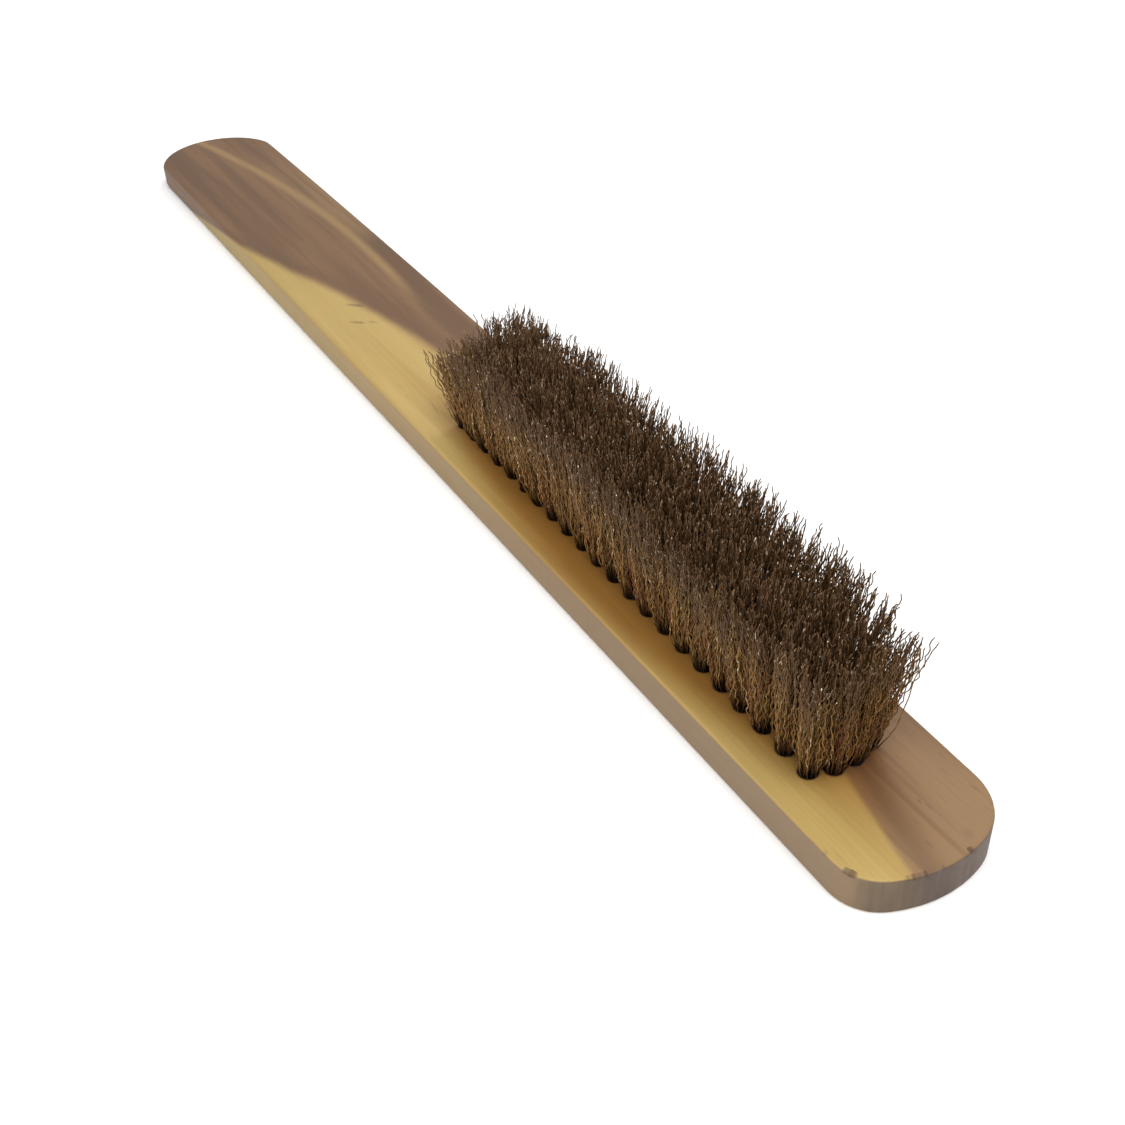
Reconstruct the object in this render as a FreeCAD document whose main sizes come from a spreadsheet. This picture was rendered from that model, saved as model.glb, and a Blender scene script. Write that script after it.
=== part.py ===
import FreeCAD, Part
import math
import os

import Sketcher

# Long-handled hand wire brush: one flat wooden board that is both handle and head, drilled with
# a field of blind holes. Each hole holds a tuft of crimped brass wire, folded in half round a flat
# steel anchor that is driven in with it and bites into the wood at both ends.
#
# Frame: +X runs along the board from the grip to the toe, +Z points out of the bristles, and the
# origin is the middle of the board's underside. Lengths are in millimetres, angles in degrees.

os.makedirs("parts", exist_ok=True)
doc = FreeCAD.newDocument("WireBrush")

# ---------------------------------------------------------------- driving dimensions

sheet = doc.addObject("Spreadsheet::Sheet", "Sizes")

driving = [
    ("board_length", 366.0, "grip end to toe"),
    ("board_thickness", 7.5, "underside to drilled face"),
    ("grip_width", 36.6, "between the sides of the grip"),
    ("toe_narrowing", 6.0, "how much narrower the toe is than the grip"),
    ("straight_run", 22.0, "how far the bowed side runs straight from the grip's end"),
    ("toe_crown", 5.5, "how far the toe's end bows out"),
    ("grip_sweep", 150.0, "degrees of arc round the grip's end"),
    ("toe_corner_straight", 9.0, "toe corner radius on the straight side"),
    ("toe_corner_bowed", 11.5, "toe corner radius on the bowed side"),
    ("grip_corner", 4.0, "corner radius at both sides of the grip's end"),
    ("toe_edge", 0.5, "sanded edge radius at the toe"),
    ("grip_edge", 1.5, "sanded edge radius at the grip's end"),
    ("cross_rows", 22, "tufts along the field"),
    ("tufts_across", 4, "tufts in one cross row"),
    ("row_pitch", 6.0, "between cross rows"),
    ("across_pitch", 4.0, "between tufts in a cross row"),
    ("inner_stagger", 1.5, "how far the inner tufts stand nearer the toe"),
    ("toe_margin", 26.4, "toe to the outer tufts of the last row"),
    ("side_margin", 15.35, "straight side to the middle of the field"),
    ("field_skew", 0.8, "how far the field turns towards the straight side"),
    ("hole_diameter", 3.2, "tuft hole"),
    ("hole_depth", 5.5, "tuft hole, blind"),
    ("root_clearance", 0.05, "tuft to hole wall"),
    ("wire_height", 30.0, "drilled face to the highest wire tips"),
    ("end_lean", 2.0, "how far the end rows' tips lean out"),
    ("straight_side_lean", 2.0, "how far the tips on the straight side lean out"),
    ("bowed_side_lean", 4.5, "how far the tips on the bowed side lean out"),
    ("tip_gap", 0.2, "between neighbouring tufts at their tips"),
    ("anchor_bite", 0.4, "how far each end of an anchor enters the wood"),
    ("anchor_thickness", 0.5, "anchor strip"),
    ("anchor_height", 2.0, "anchor strip"),
    ("fold_height", 0.8, "folded wire between the anchor and the hole's floor"),
]
for line, (alias, value, note) in enumerate(driving, start=1):
    sheet.set(f"A{line}", alias)
    sheet.set(f"B{line}", str(value))
    sheet.set(f"C{line}", note)
    sheet.setAlias(f"B{line}", alias)
doc.recompute()


def size(alias):
    return float(sheet.get(alias))


def worked_out(expression):
    return float(sheet.evalExpression(expression))


rows = int(size("cross_rows"))
across = int(size("tufts_across"))
tiny_length = 0.01  # below this an edge or face counts as flat


# ---------------------------------------------------------------- shared sizes, as expressions

toe_width = "(Sizes.grip_width - Sizes.toe_narrowing)"
grip_crown = "(Sizes.grip_width / 2 * tan(Sizes.grip_sweep / 4))"

# Tufts are placed in the field's own frame: its origin is the middle of the field and its X axis
# runs along the rows. The field sits on the board at these places.
field_x = (
    "Sizes.board_length / 2 - Sizes.toe_margin"
    " - (Sizes.cross_rows - 1) / 2 * Sizes.row_pitch"
)
field_y = "Sizes.side_margin - Sizes.grip_width / 2"

# The tips spread evenly, so their pitch is the holes' pitch plus each gap's share of the lean.
tip_row_pitch = "(Sizes.row_pitch + 2 * Sizes.end_lean / (Sizes.cross_rows - 1))"
tip_across_pitch = (
    "(Sizes.across_pitch"
    " + (Sizes.straight_side_lean + Sizes.bowed_side_lean) / (Sizes.tufts_across - 1))"
)
tip_drift = "(Sizes.bowed_side_lean - Sizes.straight_side_lean) / 2"
hole_floor = "(Sizes.board_thickness - Sizes.hole_depth)"
anchor_length = "(Sizes.hole_diameter + 2 * Sizes.anchor_bite)"


def steps_from_middle(index, count):
    return index - (count - 1) / 2


def is_inner(index):
    return 0 < index < across - 1


def tuft_x(row, index, pitch="Sizes.row_pitch"):
    stagger = " + Sizes.inner_stagger" if is_inner(index) else ""
    return f"{steps_from_middle(row, rows)} * {pitch}{stagger}"


def tuft_y(index, pitch="Sizes.across_pitch"):
    return f"{steps_from_middle(index, across)} * {pitch}"


def tip_x(row, index):
    return tuft_x(row, index, tip_row_pitch)


def tip_y(index):
    return f"{tuft_y(index, tip_across_pitch)} + {tip_drift}"


def place(item, x, y, z):
    item.setExpression("Placement.Base.x", x)
    item.setExpression("Placement.Base.y", y)
    item.setExpression("Placement.Base.z", z)


# ---------------------------------------------------------------- wooden board


def origin_plane(body, role):
    return next(plane for plane in body.Origin.OriginFeatures if plane.Role == role)


def sketch_on_base(body, name):
    sketch = body.newObject("Sketcher::SketchObject", name)
    sketch.AttachmentSupport = (origin_plane(body, "XY_Plane"), [""])
    sketch.MapMode = "FlatFace"
    return sketch


def bound(sketch, kind, *where, to):
    # Adds a dimension and ties it to the sheet.
    value = sketch.evalExpression(to)
    number = sketch.addConstraint(Sketcher.Constraint(kind, *where, float(value)))
    sketch.setExpression(f"Constraints[{number}]", to)
    return number


def outline_corners():
    # Where the outline's curves meet: x at both ends, y of both sides.
    half_length = size("board_length") / 2
    half_width = size("grip_width") / 2
    grip_x = worked_out(grip_crown) - half_length
    toe_x = half_length - size("toe_crown")
    return {
        "grip_straight": (grip_x, -half_width),
        "toe_straight": (toe_x, -half_width),
        "toe_bowed": (toe_x, half_width - size("toe_narrowing")),
        "bow_start": (size("straight_run") - half_length, half_width),
        "grip_bowed": (grip_x, half_width),
    }


def board_outline(body):
    # Five curves, anticlockwise: straight side, toe, bowed side, the straight run before it, grip end.
    corners = {name: FreeCAD.Vector(*corner, 0) for name, corner in outline_corners().items()}
    toe_start, toe_end = corners["toe_straight"], corners["toe_bowed"]
    bow_start = corners["bow_start"]
    toe_tip = FreeCAD.Vector(size("board_length") / 2, (toe_start.y + toe_end.y) / 2, 0)
    grip_tip = FreeCAD.Vector(-size("board_length") / 2, 0, 0)
    run, drop = toe_end.x - bow_start.x, bow_start.y - toe_end.y
    bow_radius = (run**2 + drop**2) / (2 * drop)
    bow_middle = FreeCAD.Vector(
        bow_start.x + run / 2,
        bow_start.y - bow_radius + math.sqrt(bow_radius**2 - (run / 2) ** 2),
        0,
    )
    sketch = sketch_on_base(body, "BoardOutline")
    straight, toe, bowed, lead, grip_end = sketch.addGeometry([
        Part.LineSegment(corners["grip_straight"], toe_start),
        Part.Arc(toe_start, toe_tip, toe_end),
        Part.Arc(toe_end, bow_middle, bow_start),
        Part.LineSegment(bow_start, corners["grip_bowed"]),
        Part.Arc(corners["grip_bowed"], grip_tip, corners["grip_straight"]),
    ])
    start, end, origin = 1, 2, (-1, 1)
    sketch.addConstraint([
        Sketcher.Constraint("Coincident", straight, end, toe, start),
        Sketcher.Constraint("Coincident", toe, end, bowed, start),
        Sketcher.Constraint("Tangent", bowed, end, lead, start),
        Sketcher.Constraint("Coincident", lead, end, grip_end, start),
        Sketcher.Constraint("Coincident", grip_end, end, straight, start),
        Sketcher.Constraint("Horizontal", straight),
        Sketcher.Constraint("Horizontal", lead),
        Sketcher.Constraint("Vertical", toe, start, toe, end),
        Sketcher.Constraint("Vertical", grip_end, start, grip_end, end),
    ])
    bound(sketch, "DistanceX", *origin, toe, start, to="Sizes.board_length / 2 - Sizes.toe_crown")
    bound(sketch, "DistanceX", grip_end, end, *origin, to=f"Sizes.board_length / 2 - {grip_crown}")
    bound(sketch, "DistanceY", straight, start, *origin, to="Sizes.grip_width / 2")
    bound(sketch, "DistanceY", *origin, lead, end, to="Sizes.grip_width / 2")
    bound(sketch, "DistanceX", lead, start, *origin,
          to="Sizes.board_length / 2 - Sizes.straight_run")
    bound(sketch, "DistanceY", toe, start, toe, end, to=toe_width)
    bound(sketch, "Radius", toe,
          to=f"({toe_width} ^ 2 / 4 + Sizes.toe_crown ^ 2) / (2 * Sizes.toe_crown)")
    bound(sketch, "Radius", grip_end, to="Sizes.grip_width / 2 / sin(Sizes.grip_sweep / 2)")
    return sketch


def upright_edge(shape, x, y):
    # Name of the vertical edge nearest to a corner of the outline.
    def distance(edge):
        return math.hypot(edge.CenterOfMass.x - x, edge.CenterOfMass.y - y)

    def is_upright(edge):
        box = edge.BoundBox
        return box.ZLength > size("board_thickness") / 2 and box.XLength < tiny_length

    upright = [(distance(edge), number) for number, edge in enumerate(shape.Edges, start=1)
               if is_upright(edge)]
    return f"Edge{min(upright)[1]}"


def round_corner(body, name, where, radius):
    solid = body.Tip
    corner = upright_edge(solid.Shape, *where)
    fillet = body.newObject("PartDesign::Fillet", name)
    fillet.Base = (solid, [corner])
    fillet.setExpression("Radius", f"Sizes.{radius}")
    doc.recompute()


def field_sketch(body, name):
    # Lies on the drilled face, turned and placed as the field is.
    sketch = sketch_on_base(body, name)
    sketch.setExpression("AttachmentOffset.Base.x", field_x)
    sketch.setExpression("AttachmentOffset.Base.y", field_y)
    sketch.setExpression("AttachmentOffset.Base.z", "Sizes.board_thickness")
    sketch.setExpression("AttachmentOffset.Rotation.Angle", "-Sizes.field_skew")
    doc.recompute()
    return sketch


def first_row_holes(body):
    sketch = field_sketch(body, "FirstRowHoles")
    for index in range(across):
        x = sketch.evalExpression(tuft_x(0, index))
        y = sketch.evalExpression(tuft_y(index))
        circle = Part.Circle(FreeCAD.Vector(x, y, 0), FreeCAD.Vector(0, 0, 1),
                             size("hole_diameter") / 2)
        hole = sketch.addGeometry(circle)
        bound(sketch, "DistanceX", -1, 1, hole, 3, to=tuft_x(0, index))
        bound(sketch, "DistanceY", -1, 1, hole, 3, to=tuft_y(index))
        bound(sketch, "Diameter", hole, to="Sizes.hole_diameter")
    return sketch


def first_row_slots(body):
    # Slits that the anchors' ends cut down both sides of each hole.
    sketch = field_sketch(body, "FirstRowSlots")
    for index in range(across):
        left = sketch.evalExpression(f"{tuft_x(0, index)} - {anchor_length} / 2")
        low = sketch.evalExpression(f"{tuft_y(index)} - Sizes.anchor_thickness / 2")
        right = left + sketch.evalExpression(anchor_length)
        high = low + size("anchor_thickness")
        corners = [FreeCAD.Vector(x, y, 0)
                   for x, y in ((left, low), (right, low), (right, high), (left, high))]
        bottom, end_side, top, start_side = sketch.addGeometry(
            [Part.LineSegment(corners[n], corners[(n + 1) % 4]) for n in range(4)]
        )
        sides = (bottom, end_side, top, start_side)
        for first, second in zip(sides, sides[1:] + sides[:1]):
            sketch.addConstraint(Sketcher.Constraint("Coincident", first, 2, second, 1))
        for line in (bottom, top):
            sketch.addConstraint(Sketcher.Constraint("Horizontal", line))
        for line in (end_side, start_side):
            sketch.addConstraint(Sketcher.Constraint("Vertical", line))
        bound(sketch, "DistanceX", -1, 1, bottom, 1, to=f"{tuft_x(0, index)} - {anchor_length} / 2")
        bound(sketch, "DistanceY", -1, 1, bottom, 1,
              to=f"{tuft_y(index)} - Sizes.anchor_thickness / 2")
        bound(sketch, "DistanceX", bottom, 1, bottom, 2, to=anchor_length)
        bound(sketch, "DistanceY", end_side, 1, end_side, 2, to="Sizes.anchor_thickness")
    return sketch


def cut_every_row(body, sketch, name, depth):
    before = body.Shape.Volume
    pocket = body.newObject("PartDesign::Pocket", name)
    pocket.Profile = sketch
    pocket.setExpression("Length", depth)
    doc.recompute()
    pattern = body.newObject("PartDesign::LinearPattern", f"{name}Rows")
    pattern.Originals = [pocket]
    pattern.Direction = (sketch, ["H_Axis"])
    pattern.setExpression("Length", "(Sizes.cross_rows - 1) * Sizes.row_pitch")
    pattern.setExpression("Occurrences", "Sizes.cross_rows")
    body.Tip = pattern
    doc.recompute()
    if body.Shape.Volume >= before:
        raise RuntimeError(f"{name} cut nothing")


def make_board():
    body = doc.addObject("PartDesign::Body", "BoardBody")
    pad = body.newObject("PartDesign::Pad", "BoardBlank")
    pad.Profile = board_outline(body)
    pad.setExpression("Length", "Sizes.board_thickness")
    doc.recompute()

    corners = outline_corners()
    round_corner(body, "ToeCornerStraight", corners["toe_straight"], "toe_corner_straight")
    round_corner(body, "ToeCornerBowed", corners["toe_bowed"], "toe_corner_bowed")
    round_corner(body, "GripCornerStraight", corners["grip_straight"], "grip_corner")
    round_corner(body, "GripCornerBowed", corners["grip_bowed"], "grip_corner")

    cut_every_row(body, first_row_holes(body), "TuftHoles", "Sizes.hole_depth")
    cut_every_row(body, first_row_slots(body), "AnchorSlots", "Sizes.hole_depth - Sizes.fold_height")

    board = doc.addObject("Part::Fillet", "Board")
    board.Base = body
    board.Edges = sanded_edges(body.Shape)
    board.Label = "board"
    return board


def sanded_edges(shape):
    # The rim is barely broken at the toe and is rounded more and more towards the grip's end.
    length = size("board_length")
    wide = size("grip_edge")
    narrow = size("toe_edge")

    def radius_at(x):
        return narrow + (wide - narrow) * (length / 2 - x) / length

    edges = []
    for face in shape.Faces:
        box = face.BoundBox
        is_flat = box.ZLength < tiny_length and box.XLength > length / 2
        if not is_flat:
            continue
        for rim_edge in face.OuterWire.Edges:
            number = next(n for n, edge in enumerate(shape.Edges, start=1) if edge.isSame(rim_edge))
            first = shape.Edges[number - 1].valueAt(shape.Edges[number - 1].FirstParameter)
            last = shape.Edges[number - 1].valueAt(shape.Edges[number - 1].LastParameter)
            edges.append((number, radius_at(first.x), radius_at(last.x)))
    return edges


# ---------------------------------------------------------------- anchors and tufts


def make_anchor(row, index):
    # A flat strip across the hole, in line with the rows, standing on its edge.
    anchor = doc.addObject("Part::Box", f"Anchor{row}_{index}")
    anchor.setExpression("Length", anchor_length)
    anchor.setExpression("Width", "Sizes.anchor_thickness")
    anchor.setExpression("Height", "Sizes.anchor_height")
    place(
        anchor,
        f"{tuft_x(row, index)} - {anchor_length} / 2",
        f"{tuft_y(index)} - Sizes.anchor_thickness / 2",
        f"{hole_floor} + Sizes.fold_height",
    )
    return anchor


def make_tuft(row, index, anchor):
    # Straight in its hole, then flaring to a wider tip that leans away from the field's middle.
    x, y = tuft_x(row, index), tuft_y(index)
    face = "Sizes.board_thickness"
    root_radius = "Sizes.hole_diameter / 2 - Sizes.root_clearance"
    tip_radius = f"(min({tip_row_pitch}; {tip_across_pitch}) - Sizes.tip_gap) / 2"
    sections = []
    for name, radius, centre in (
        ("Root", root_radius, (x, y, hole_floor)),
        ("Mouth", root_radius, (x, y, face)),
        ("Tip", tip_radius, (tip_x(row, index), tip_y(index), f"{face} + Sizes.wire_height")),
    ):
        ring = doc.addObject("Part::Circle", f"{name}{row}_{index}")
        ring.setExpression("Radius", radius)
        place(ring, *centre)
        sections.append(ring)
    bundle = doc.addObject("Part::Loft", f"Bundle{row}_{index}")
    bundle.Sections = sections
    bundle.Solid = True
    bundle.Ruled = True
    tuft = doc.addObject("Part::Cut", f"Tuft{row}_{index}")
    tuft.Base = bundle
    tuft.Tool = anchor
    return tuft


def on_field(name, label, pieces):
    # One cross row of like pieces, set down on the board with the field's place and turn.
    group = doc.addObject("Part::Compound", name)
    group.Links = pieces
    group.Label = label
    group.setExpression("Placement.Base.x", field_x)
    group.setExpression("Placement.Base.y", field_y)
    group.setExpression("Placement.Rotation.Angle", "-Sizes.field_skew")
    return group


def make_row(row):
    anchors = [make_anchor(row, index) for index in range(across)]
    tufts = [make_tuft(row, index, anchor) for index, anchor in enumerate(anchors)]
    number = f"{row + 1:02d}"
    return [
        on_field(f"AnchorRow{number}", f"anchors_row_{number}", anchors),
        on_field(f"TuftRow{number}", f"tufts_row_{number}", tufts),
    ]


# ---------------------------------------------------------------- build, check and write

subparts = [make_board()]
for row in range(rows):
    subparts += make_row(row)
doc.recompute()

failed = [item.Name for item in doc.Objects if {"Invalid", "Error"} & set(item.State)]
if failed:
    raise RuntimeError(f"failed to build: {failed}")
for part in subparts:
    if part.Shape.isNull() or not part.Shape.isValid():
        raise RuntimeError(f"{part.Label} has no valid shape")
for part in subparts:
    part.Shape.exportStep(f"parts/{part.Label}.step")
print(f"{len(subparts)} nodes, {sum(len(part.Shape.Solids) for part in subparts)} solids")
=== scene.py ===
import bpy
import bmesh
import math
import random
from mathutils import Matrix, Vector, geometry, noise


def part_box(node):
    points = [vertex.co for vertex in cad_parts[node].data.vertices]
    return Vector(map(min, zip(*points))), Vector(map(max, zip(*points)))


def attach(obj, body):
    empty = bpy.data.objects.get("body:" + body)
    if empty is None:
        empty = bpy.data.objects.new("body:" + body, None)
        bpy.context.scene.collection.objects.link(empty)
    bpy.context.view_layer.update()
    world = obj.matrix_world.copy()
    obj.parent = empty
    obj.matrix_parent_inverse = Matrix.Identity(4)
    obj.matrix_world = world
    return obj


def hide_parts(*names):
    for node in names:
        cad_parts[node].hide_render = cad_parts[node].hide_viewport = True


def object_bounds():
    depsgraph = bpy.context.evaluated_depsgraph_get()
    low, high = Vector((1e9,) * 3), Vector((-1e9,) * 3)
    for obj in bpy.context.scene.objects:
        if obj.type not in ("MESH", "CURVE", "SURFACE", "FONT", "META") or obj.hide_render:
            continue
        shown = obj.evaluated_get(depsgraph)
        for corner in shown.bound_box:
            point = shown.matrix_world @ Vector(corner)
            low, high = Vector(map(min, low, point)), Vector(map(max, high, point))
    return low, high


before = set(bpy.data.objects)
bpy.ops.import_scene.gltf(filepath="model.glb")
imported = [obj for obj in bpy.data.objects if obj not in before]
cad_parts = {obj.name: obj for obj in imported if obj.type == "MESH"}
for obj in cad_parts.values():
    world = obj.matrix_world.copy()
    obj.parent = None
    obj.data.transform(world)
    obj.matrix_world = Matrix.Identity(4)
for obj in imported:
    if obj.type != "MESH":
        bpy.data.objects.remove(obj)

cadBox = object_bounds()
mm = 0.001
weld = 0.001 * mm         # points of the CAD mesh this close are one point
sameHeight = 0.01 * mm
boardThick = (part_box("board")[1].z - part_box("board")[0].z) / mm
print("frame loaded:", len(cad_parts), "nodes")


# helpers shared by the materials
def linear(red, green, blue):
    # screen colour 0..255 to the linear values that a shader socket takes
    def one(value):
        value /= 255
        return value / 12.92 if value <= 0.04045 else ((value + 0.055) / 1.055) ** 2.4
    return (one(red), one(green), one(blue), 1.0)


class NodeDesk:
    # lays out nodes in one tree and wires them up, so a material reads as a list of steps
    def __init__(self, tree):
        self.tree = tree
        self.column = 0

    def add(self, kind, **settings):
        node = self.tree.nodes.new(kind)
        node.location = (self.column * 60, -(self.column % 6) * 180)
        self.column += 1
        for name, value in settings.items():
            setattr(node, name, value)
        return node

    def feed(self, socket, value):
        if isinstance(value, bpy.types.NodeSocket):
            self.tree.links.new(value, socket)
        elif value is not None:
            socket.default_value = value

    def maths(self, operation, *values):
        node = self.add("ShaderNodeMath", operation=operation)
        for socket, value in zip(node.inputs, values):
            self.feed(socket, value)
        return node.outputs[0]

    def vector(self, operation, *values):
        node = self.add("ShaderNodeVectorMath", operation=operation)
        for socket, value in zip(node.inputs, values):
            self.feed(socket, value)
        return node.outputs["Value" if operation == "LENGTH" else "Vector"]

    def parts(self, vector):
        node = self.add("ShaderNodeSeparateXYZ")
        self.feed(node.inputs[0], vector)
        return node.outputs

    def attribute(self, name):
        return self.add("ShaderNodeAttribute", attribute_name=name).outputs["Fac"]

    def grey(self, value):
        node = self.add("ShaderNodeCombineColor")
        for socket in node.inputs:
            self.feed(socket, value)
        return node.outputs[0]

    def blend(self, amount, first, second, how="MIX"):
        node = self.add("ShaderNodeMix", data_type="RGBA", blend_type=how)
        self.feed(node.inputs[0], amount)
        self.feed(node.inputs[6], first)
        self.feed(node.inputs[7], second)
        return node.outputs[2]

    def ramp(self, value, low, high, fromLow=0.0, toHigh=1.0):
        node = self.add("ShaderNodeMapRange", interpolation_type="SMOOTHSTEP")
        for name, setting in zip(("Value", "From Min", "From Max", "To Min", "To Max"),
                                 (value, low, high, fromLow, toHigh)):
            self.feed(node.inputs[name], setting)
        return node.outputs[0]

    def noise(self, place, scale, stretch=(1, 1, 1), detail=3, rough=0.5):
        # scale is in features per millimetre, stretch draws them out along each axis
        mapping = self.add("ShaderNodeMapping")
        self.feed(mapping.inputs["Vector"], place)
        mapping.inputs["Scale"].default_value = [scale / part for part in stretch]
        node = self.add("ShaderNodeTexNoise")
        self.feed(node.inputs["Vector"], mapping.outputs[0])
        node.inputs["Scale"].default_value = 1.0
        node.inputs["Detail"].default_value = detail
        node.inputs["Roughness"].default_value = rough
        return node.outputs[0]


def newMaterial(name):
    material = bpy.data.materials.new(name)
    material.use_nodes = True
    material.node_tree.nodes.clear()
    desk = NodeDesk(material.node_tree)
    surface = desk.add("ShaderNodeBsdfPrincipled")
    output = desk.add("ShaderNodeOutputMaterial")
    material.node_tree.links.new(surface.outputs[0], output.inputs[0])
    coords = desk.add("ShaderNodeTexCoord")
    place = desk.vector("MULTIPLY", coords.outputs["Object"], (1000, 1000, 1000))  # millimetres
    return material, desk, surface, place


def bump(desk, surface, height, depth, strength):
    node = desk.add("ShaderNodeBump")
    node.inputs["Strength"].default_value = strength
    node.inputs["Distance"].default_value = depth
    desk.feed(node.inputs["Height"], height)
    desk.feed(surface.inputs["Normal"], node.outputs[0])


cameraSetup = {
    "place": (0.2728, -0.1152, 0.1703),
    "aim": (0.0867, -0.0153, 0.0075),
    "roll": -3.07,     # degrees, leans the picture a little
    "lens": 43.5,
    "sensor": 36.0,
    "nearest": 0.01,   # metres, nothing closer is drawn
}


def makeCamera(setup):
    data = bpy.data.cameras.new("camera")
    data.lens = setup["lens"]
    data.sensor_width = setup["sensor"]
    data.clip_start = setup["nearest"]
    camera = bpy.data.objects.new("camera", data)
    bpy.context.scene.collection.objects.link(camera)
    towards = Vector(setup["aim"]) - Vector(setup["place"])
    level = towards.to_track_quat("-Z", "Y").to_matrix()
    roll = Matrix.Rotation(math.radians(setup["roll"]), 3, "Z")
    camera.location = setup["place"]
    camera.rotation_euler = (level @ roll).to_euler()
    bpy.context.scene.camera = camera


makeCamera(cameraSetup)
print("camera set")


board = {
    "pointSpacing": 1.0 * mm,      # along the rim
    "toeSpacing": 0.35 * mm,       # along the rim, round the toe where the chips are
    "toeStart": 0.166,             # x where the finer points and the chips start
    "smoothing": 3,                # passes over the points of the rim
    "rimSteps": 5,                 # rings of faces round the broken edge
    "toeEdge": 0.5 * mm,           # broken edge at the toe
    "gripEdge": 1.5 * mm,          # sanded edge at the end of the grip
    "flatStart": 1.6 * mm,         # from the broken edge to the first ring of the flat
    "holeSides": 24,
    "rootGap": 0.05 * mm,          # between a tuft and its hole
    "holeFlare": 0.10 * mm,        # torn rim of each drilled hole
    "flareDepth": 0.12 * mm,
    "tear": 0.02,                  # share by which that rim is uneven
    "mouthShadeWidth": 0.4 * mm,         # ring over which the painted shade fades out round each hole
    "mouthShade": 0.8,            # 1 is as dark as the hole itself
    "innerGrid": 5.0 * mm,         # points inside the drilled face
    "clearOfHoles": 1.6 * mm,      # that these points keep from the holes
    "clearOfRim": 3.5 * mm,        # and from the rim
    "onePoint": 0.0001 * mm,       # points of the face this close are one
    "holeCore": 0.97,              # share of a hole's radius inside which no face is kept
    "chipDepth": 0.42 * mm,
    "chipSharpness": 2.5,          # how soon a chip reaches its depth
    "chipStart": 0.14,             # height of the noise below which the rim is whole
    "fineChips": (3.1, 0.5),       # how much finer the small chips are, and their share
    "chipsPerMetre": 430,
    "chipEdge": 0.12 * mm,         # width of the torn edge round a chip
    "chipsGrow": 8 * mm,           # from toeStart to where the chips are at their full size
    "chipsElsewhere": 0.1,         # share of that size along the rest of the rim
    "seed": 11,
}


def crossSection(node, height):
    # outermost loop of a CAD node's surface at one height, as ordered points
    mesh = bmesh.new()
    mesh.from_mesh(node.data)
    bmesh.ops.remove_doubles(mesh, verts=mesh.verts, dist=weld)
    cut = bmesh.ops.bisect_plane(mesh, geom=mesh.verts[:] + mesh.edges[:] + mesh.faces[:],
                                 plane_co=(0, 0, height), plane_no=(0, 0, 1))
    edges = [item for item in cut["geom_cut"] if isinstance(item, bmesh.types.BMEdge)]
    nextTo = {}
    for edge in edges:
        first, second = edge.verts
        nextTo.setdefault(first, []).append(second)
        nextTo.setdefault(second, []).append(first)
    loops = []
    unseen = set(nextTo)
    while unseen:
        start = min(unseen, key=lambda vert: (vert.co.x, vert.co.y))
        loop, last, here = [start], None, start
        while True:
            unseen.discard(here)
            onward = [vert for vert in nextTo[here] if vert is not last]
            last, here = here, onward[0]
            if here is start:
                break
            loop.append(here)
        loops.append([vert.co.xy.copy() for vert in loop])
    mesh.free()
    outer = max(loops, key=lambda loop: max(p.x for p in loop) - min(p.x for p in loop))
    area = sum(a.x * b.y - b.x * a.y for a, b in zip(outer, outer[1:] + outer[:1]))
    return outer if area > 0 else outer[::-1]


def spaceEvenly(loop, spacingAt):
    # new points along a closed loop, with a spacing that may change on the way
    result, carry = [], 0.0
    for first, second in zip(loop, loop[1:] + loop[:1]):
        length = (second - first).length
        along = carry
        while along < length:
            point = first.lerp(second, along / length)
            result.append(point)
            along += spacingAt(point)
        carry = along - length
    for _ in range(board["smoothing"]):
        before, after = result[-1:] + result[:-1], result[1:] + result[:1]
        result = [(a + b * 2 + c) / 4 for a, b, c in zip(before, result, after)]
    return result


def inwardNormals(loop):
    normals = []
    for before, after in zip(loop[-1:] + loop[:-1], loop[1:] + loop[:1]):
        along = (after - before).normalized()
        normals.append(Vector((-along.y, along.x)))
    return normals


def islands(node):
    # groups of connected points of a CAD node, one group for each of its solids
    mesh = bmesh.new()
    mesh.from_mesh(node.data)
    bmesh.ops.remove_doubles(mesh, verts=mesh.verts, dist=weld)
    groups, seen = [], set()
    for start in mesh.verts:
        if start in seen:
            continue
        seen.add(start)
        group, waiting = [], [start]
        while waiting:
            vert = waiting.pop()
            group.append(vert.co.copy())
            for link in vert.link_edges:
                other = link.other_vert(vert)
                if other not in seen:
                    seen.add(other)
                    waiting.append(other)
        groups.append(group)
    mesh.free()
    return groups


def ringOf(points, height):
    # middle and radius of the circle of points at one height
    level = [p for p in points if abs(p.z - height) < sameHeight]
    xs, ys = [p.x for p in level], [p.y for p in level]
    middle = Vector(((min(xs) + max(xs)) / 2, (min(ys) + max(ys)) / 2, 0))
    return middle, (max(xs) - min(xs)) / 2


def tuftPlaces():
    # each tuft's hole, radius and lean, read from the CAD tufts
    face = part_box("board")[1].z
    rows = []
    for name in sorted(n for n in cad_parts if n.startswith("tufts_row")):
        tufts = []
        for points in islands(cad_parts[name]):
            low, high = min(p.z for p in points), max(p.z for p in points)
            root, rootRadius = ringOf(points, low)
            tip, _ = ringOf(points, high)
            root.z = face
            tip.z = face
            tufts.append({"hole": root, "radius": rootRadius, "lean": tip - root})
        tufts.sort(key=lambda tuft: tuft["hole"].y)
        rows.append({"node": name, "tufts": tufts, "floor": low})
    return rows


def edgeRadius(x):
    toe, grip = cadBox[1][0], cadBox[0][0]
    growth = board["gripEdge"] - board["toeEdge"]
    return board["toeEdge"] + growth * (toe - x) / (toe - grip)


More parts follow.
